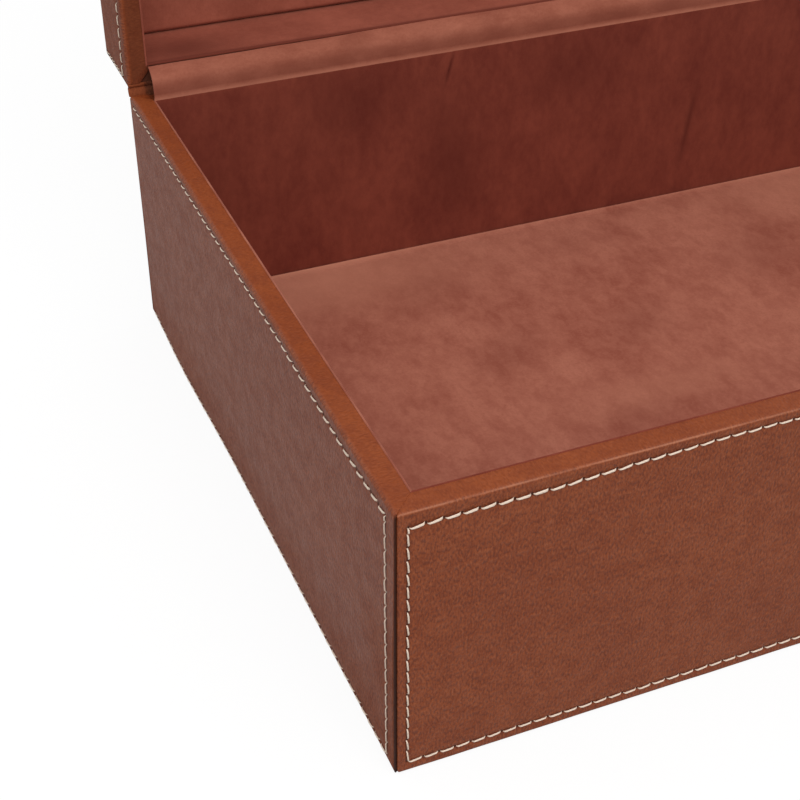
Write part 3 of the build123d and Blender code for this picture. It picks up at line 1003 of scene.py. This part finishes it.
class Shade(Nodes):
    """A material; finish gives its shader the inputs by name."""

    def __init__(self, name):
        self.material = bpy.data.materials.new(name)
        self.material.use_nodes = True
        super().__init__(self.material.node_tree)

    def attribute(self, name, out="Vector"):
        return self.add("Attribute", attribute_name=name, out=out)

    def place(self):
        """Object coordinates in millimetres."""
        return self.stretch(self.add("TexCoord", out="Object"), (1000, 1000, 1000))

    def stretch(self, vector, by):
        return self.add("VectorMath", {0: vector, 1: by}, operation="MULTIPLY")

    def noise(self, vector, size, detail=2.0, rough=0.5, warp=0.0):
        return self.add(
            "TexNoise",
            {"Vector": vector, "Scale": 1.0 / size, "Detail": detail, "Roughness": rough, "Distortion": warp},
        )

    def cells(self, vector, size, smooth):
        return self.add(
            "TexVoronoi", {"Vector": vector, "Scale": 1.0 / size, "Smoothness": smooth}, feature="SMOOTH_F1"
        )

    def span(self, value, low, high, to_low=0.0, to_high=1.0):
        return self.add(
            "MapRange",
            {"Value": value, "From Min": low, "From Max": high, "To Min": to_low, "To Max": to_high},
            interpolation_type="SMOOTHSTEP",
        )

    def mix(self, factor, a, b):
        return self.add("Mix", {0: factor, 6: colour(a), 7: colour(b)}, out=2, data_type="RGBA")

    def bump(self, height, distance, strength):
        return self.add("Bump", {"Height": height, "Distance": distance, "Strength": strength})

    def finish(self, **inputs):
        shader = self.tree.nodes["Principled BSDF"]
        for key, value in inputs.items():
            self.put(shader.inputs[key.replace("_", " ")], value)
        return self.material


def colour(value):
    """An sRGB triple 0-255 as linear RGBA; sockets pass through."""
    if isinstance(value, bpy.types.NodeSocket):
        return value
    linear = [v / 255 / 12.92 if v <= 10.3 else ((v / 255 + 0.055) / 1.055) ** 2.4 for v in value]
    return (*linear, 1.0)


PIT_BROWN, CREST_TAN = (99, 40, 18), (176, 97, 57)
# the tan of the highlight painted along the fold, and the brown of leather painted dark, mostly as shade
HIGHLIGHT_TAN, DARK_BROWN = (190, 120, 86), (58, 24, 12)
# the thread's groove darkened by dirt and painted shade; needle holes and the hollows at the hinge painted
# dark as shade
GROOVE_DIRT_AND_SHADE, HOLE_SHADE_BROWN = (70, 28, 12), (82, 42, 24)


def leather_material(name, dark, middle, light):
    """Tanned hide: fine upright grain and cloudy dye, darker with dirt and painted shade where the thread
    pulls it in, its needle holes painted dark as shade, and painted highlight and shade from the fold
    attribute.
    """
    s = Shade(name)
    grain = s.attribute("grain")
    far, along, rim = s.split(s.attribute("row"))
    tall = s.stretch(grain, (1.0, 0.46, 1.0))
    pebble = s.cells(tall, 0.75, 0.6)
    pores = s.noise(tall, 0.56, 2.0, 0.6)
    broad = s.noise(grain, 38.0, 3.0, 0.55, 0.4)
    mottle = s.noise(grain, 6.0, 3.0, 0.6)
    tone = s.mix(s.span(broad, 0.35, 0.65), middle, light)
    tone = s.mix(s.times(s.span(mottle, 0.38, 0.66), 0.55), tone, dark)
    calm = s.span(rim, 0.0, 0.5, 1.0, 0.45)
    tone = s.mix(s.times(s.times(s.span(pores, 0.47, 0.64), calm), 0.60), tone, PIT_BROWN)
    tone = s.mix(s.times(s.times(s.span(pores, 0.46, 0.32), calm), 0.58), tone, CREST_TAN)
    # the fold attribute: painted highlight above 0, leather painted dark below it, mostly as shade
    painted_light_and_wear = s.attribute("fold", "Fac")
    tone = s.mix(s.span(painted_light_and_wear, 0.0, 1.0, 0.0, 0.75), tone, HIGHLIGHT_TAN)
    tone = s.mix(s.span(painted_light_and_wear, 0.0, -1.0), tone, DARK_BROWN)
    # needle holes, and the hollows at the hinge, painted dark as shade; the groove darker with dirt and
    # painted shade
    away = s.math("SQRT", s.plus(s.math("POWER", far, 2.0), s.math("POWER", along, 2.0)))
    hole = s.span(away, 0.19, 0.43, 1.0, 0.0)
    tone = s.mix(s.span(far, 0.25, 0.8, 0.35, 0.0), tone, GROOVE_DIRT_AND_SHADE)
    tone = s.mix(hole, tone, HOLE_SHADE_BROWN)
    height = s.times(s.plus(s.times(pebble, 0.7), s.times(pores, -1.1)), calm)
    height = s.math("SUBTRACT", height, s.times(hole, 1.2))
    dull = s.math("MAXIMUM", s.span(painted_light_and_wear, -0.1, -0.22, 0.0, 0.42), s.times(hole, 0.4))
    rough = s.plus(s.span(mottle, 0.3, 0.7, 0.44, 0.54), dull)
    return s.finish(Base_Color=tone, Roughness=rough, IOR=1.45, Normal=s.bump(height, 0.00030, 1.0))


PAINTED_LIGHT_PINK = (208, 138, 112)
NAP_AND_SHADE_KEEPS = (0.80, 0.71, 0.69)  # what pressed nap and painted shade keep of the dark tone
CLOUD_STEP = (37.0, 11.0, 53.0)  # keeps the clouds of one suede apart from the next


def suede_material(name, dark, light, stretch, seed, contrast, nap_depth):
    """Brushed nap: soft clouds and strokes where a hand has turned it, darkened by pressed nap and painted
    shade, and lightened by painted light and highlights.
    """
    s = Shade(name)
    nap_and_shade, _, edge = s.split(s.attribute("row"))
    shift = tuple(seed * step for step in CLOUD_STEP)
    where = s.add("VectorMath", {0: s.stretch(s.place(), stretch), 1: shift}, operation="ADD")
    patch = s.noise(where, 34.0, 3.0, 0.55, 0.25)
    brushed = s.noise(where, 9.0, 4.0, 0.62, 0.3)
    nap = s.noise(s.place(), 0.9, 3.0, 0.7)
    pile = s.noise(where, 2.6, 3.0, 0.65)
    tone = 0.0
    for cloud, half, share in ((patch, 0.2, 0.42), (brushed, 0.2, 0.35), (pile, 0.16, 0.23)):
        reach = half / contrast
        tone = s.plus(tone, s.times(s.span(cloud, 0.5 - reach, 0.5 + reach), share))
    base = s.mix(tone, dark, light)
    base = s.mix(s.span(nap, 0.45, 0.7, 0.0, nap_depth), base, dark)
    base = s.mix(s.span(nap, 0.5, 0.28, 0.0, nap_depth), base, light)
    # pressed nap and painted shade
    base = s.mix(nap_and_shade, base, tuple(share * v for share, v in zip(NAP_AND_SHADE_KEEPS, dark)))
    # painted light and painted highlights
    base = s.mix(edge, base, PAINTED_LIGHT_PINK)
    height = s.plus(nap, s.times(pile, 1.2))
    return s.finish(
        Base_Color=base, Roughness=0.95, IOR=1.3, Normal=s.bump(height, 0.00014, 0.6),
        Sheen_Weight=0.25, Sheen_Roughness=0.45, Sheen_Tint=colour((235, 160, 135)),
    )


def thread_material():
    s = Shade("waxed_thread")
    ply = s.attribute("ply", "Fac")
    fibre = s.noise(s.place(), 0.16, 2.0, 0.6)
    # painted shade in the groove between the two plies
    base = s.mix(s.span(ply, -1.0, 0.0), (250, 220, 196), (255, 237, 217))
    base = s.mix(s.span(fibre, 0.4, 0.75, 0.0, 0.2), base, (246, 214, 190))
    return s.finish(
        Base_Color=base, Roughness=0.5, IOR=1.5, Normal=s.bump(fibre, 0.00003, 0.7),
        Sheen_Weight=0.95, Sheen_Roughness=0.35, Sheen_Tint=colour((255, 226, 206)),
    )


def board_material():
    s = Shade("grey_board")
    pulp = s.noise(s.place(), 1.4, 4.0, 0.65)
    base = s.mix(s.span(pulp, 0.35, 0.7), (132, 118, 98), (160, 146, 124))
    return s.finish(Base_Color=base, Roughness=0.9, Normal=s.bump(pulp, 0.00008, 0.5))


leather = leather_material("pebbled_leather", (135, 60, 25), (149, 71, 32), (156, 77, 37))
edging_leather = leather_material("edging_leather", (131, 56, 23), (143, 65, 29), (148, 69, 33))
thread_cream = thread_material()
# one suede in copies toned for how light falls: darker on the walls, as painted shade, and lighter on the
# floor and in the lid, as painted light
shaded_suede_wall, lit_suede_floor, suede_strip, lit_suede_lid, suede_under = (
    suede_material("suede_" + name, *look) for name, *look in (
        ("wall", (113, 47, 36), (144, 70, 53), (1.0, 1.0, 0.55), 1, 1.0, 0.12),
        ("floor", (158, 87, 69), (191, 120, 98), (1.0, 0.62, 1.0), 2, 1.5, 0.32),
        ("strip", (150, 83, 64), (179, 109, 87), (0.5, 1.0, 1.0), 3, 1.5, 0.32),
        ("lid", (146, 76, 59), (172, 96, 76), (1.0, 1.0, 0.8), 4, 1.2, 0.25),
        ("underside", (96, 56, 44), (118, 72, 58), (1.0, 1.0, 1.0), 5, 1.0, 0.3),
    )
)
grey_board = board_material()

# --- the box ---
# creases pressed into the linings and painted dark as the shade in them, and patches where the nap lies dark
# or pale, as marks_at takes them
NAP_AND_CREASE_SHADE_MARKS = {
    ("base", "rear"): (
        [(49.7, 83, 0.7, 5, -0.25, 0.9), (-59, 40, 1.3, 16, -0.13, 0.65)],
        [
            (48, 45, 11, 26, 0.1, 0.45), (90, 76, 22, 14, 0, 0.35),
            (-4, 74, 20, 12, 0, 0.3), (152, 40, 14, 30, 0, 0.25),
        ],
    ),
    ("lid", "rear"): ([], [(147, LID_H - 8.6, 15, 9.5, 0, 0.9)]),
}
# patches where the floor's nap lies dark; the pale ones, of negative strength, are painted light
FLOOR_NAP_AND_LIGHT_MARKS = [
    (-8, 33, 15, 13, 0.3, 0.28), (-62, 34, 14, 12, 0.5, 0.26),
    (-72, 84, 15, 15, 0.3, 0.20), (-4, 95, 17, 10, 0, 0.16),
    (-40, -20, 15, 10, 0.6, 0.22), (-140, -60, 10, 24, 0, 0.28),
    (60, 60, 18, 16, 0.3, 0.25), (95, -30, 18, 14, 0.5, 0.24),
    (-112, 112, 56, 30, 0, -0.65), (-20, -6, 34, 10, 0.6, -0.30),
    (110, 110, 50, 30, 0, -0.40), (70, -66, 44, 26, 0.4, -0.35),
]
for tray in (BASE, LID):
    for side_name in ("front", "left", "right"):
        wrapped_wall(tray, side_name, leather)
    rim_strip(tray, edging_leather)
    for side_name in SIDES:
        creases, marks = NAP_AND_CREASE_SHADE_MARKS.get((tray.name, side_name), ([], []))
        wall_lining(tray, side_name, shaded_suede_wall if tray is BASE else lit_suede_lid, creases, marks)
rear_cover(leather)
hinge_strip(suede_strip)


def on_top(u, v, t):
    """The lid's top leather, t out from its flesh side."""
    return on_section(u, LID_BACK - LEATHER + t, LID_MID - v)


plate(
    "lid_top_panel", (HALF_W, HALF_D, LEATHER), on_top, leather, "lid", "lid_top_leather",
    rounding=(1.1, 0.9), step=4.0, rows=ROWS["lid", "top"], waves=((0.10, 40.0), (0.05, 12.0)), seed=5,
)
low, high = box_mm("base_floor_pad")
floor_pad = plate(
    "base_floor_cushion", (*(high - low)[:2] / 2, high[2] - LINING_FOOT),
    lambda u, v, t: on_section(u, v, LINING_FOOT + t), lit_suede_floor, "base", "base_floor_pad",
    rounding=(0.9, 0.5), step=3.0, waves=PAD_WAVES, seed=11, rolled=0.3, marks=FLOOR_NAP_AND_LIGHT_MARKS,
)
low, pad_high = box_mm("lid_top_pad")
size = pad_high - low
lid_pad = plate(
    "lid_top_cushion", (size[0] / 2, size[2] / 2, size[1]),
    lambda u, v, t: on_section(u, pad_high[1] - t, LID_MID - v), lit_suede_lid, "lid", "lid_top_pad",
    rounding=(2.0, 1.9), step=4.0, waves=PAD_WAVES, seed=12, edge_shade=0.5,
)
under = box_mm("base_underside_cover")[1]
plate(
    "base_underside_panel", tuple(under), lambda u, v, t: on_section(u, v, under[2] - t),
    suede_under, "base", "base_underside_cover", rounding=(0.8, 0.5), step=5.0, seed=13,
)

for (tray_name, side_name), rows in ROWS.items():
    tray = BASE if tray_name == "base" else LID
    to_row = tray.wall(side_name) if side_name in SIDES else (lambda x, n, c: on_top(x, c, LEATHER - n))
    thread(
        f"{tray_name}_{side_name}_thread", rows, to_row, thread_cream, tray_name,
        LEAN if tray is BASE else -LEAN, SEEDS[side_name] + (0 if tray is BASE else 10),
        THREAD_R.get(side_name, SIDE_THREAD_R), SIDE_REACH if side_name in ("left", "right") else REACH,
    )

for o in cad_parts.values():
    if not o.hide_render:
        o.data.materials.clear()
        o.data.materials.append(grey_board)

# --- camera, light, floor ---
CAMERA_AT, CAMERA_AIM = (-0.27175, -0.37514, 0.31944), (0.3077, 0.74939, -0.58628)
KEY_AT, KEY_TARGET = (-0.21, -1.06, 1.30), (0, 0, 0.08)
SKY_LOW, SKY_HIGH = 0.42, 0.78  # strength of the sky at the horizon and overhead
FLOOR_HALF = 6.0
WHITE = (1, 1, 1, 1)


def stand(data, at, aim):
    """Puts a camera or lamp in the scene, looking along aim."""
    o = bpy.data.objects.new(data.name, data)
    o.location = at
    o.rotation_euler = aim.to_track_quat("-Z", "Y").to_euler()
    bpy.context.scene.collection.objects.link(o)
    return o


camera = bpy.data.cameras.new("camera")
camera.lens = 68.87
camera.sensor_width = 36.0
bpy.context.scene.camera = stand(camera, CAMERA_AT, Vector(CAMERA_AIM))

key = bpy.data.lights.new("key", "AREA")
key.shape = "SQUARE"
key.size = 1.4
key.energy = 11.4
stand(key, KEY_AT, Vector(KEY_TARGET) - Vector(KEY_AT))

world = bpy.data.worlds.new("studio")
world.use_nodes = True
bpy.context.scene.world = world
sky = Nodes(world.node_tree)
background = sky.tree.nodes["Background"].inputs
up = sky.split(sky.add("TexCoord", out="Generated"))[2]
strength = sky.add("MapRange", {"Value": up, "To Min": SKY_LOW, "To Max": SKY_HIGH})
sky.put(background["Strength"], sky.choose(1.0, 0.55, strength))
sky.put(background["Color"], WHITE)

floor_mesh = bpy.data.meshes.new("floor")
corners = [(x * FLOOR_HALF, y * FLOOR_HALF, 0) for x, y in ((-1, -1), (1, -1), (1, 1), (-1, 1))]
floor_mesh.from_pydata(corners, [], [(0, 1, 2, 3)])
floor = bpy.data.objects.new("floor", floor_mesh)
bpy.context.scene.collection.objects.link(floor)
paper = Shade("studio_floor")
speck = paper.span(paper.noise(paper.place(), 3.0), 0.3, 0.7, 0.98, 1.0)
grey = paper.times(paper.choose(0.13, 0.1, 0.3), speck)
floor_mesh.materials.append(paper.finish(
    Base_Color=paper.add("CombineColor", {0: grey, 1: grey, 2: grey}), Roughness=1.0, IOR=1.0,
    Emission_Color=WHITE, Emission_Strength=paper.choose(0.90, 0.5, 0.0),
))

bpy.context.scene.view_settings.view_transform = "Standard"
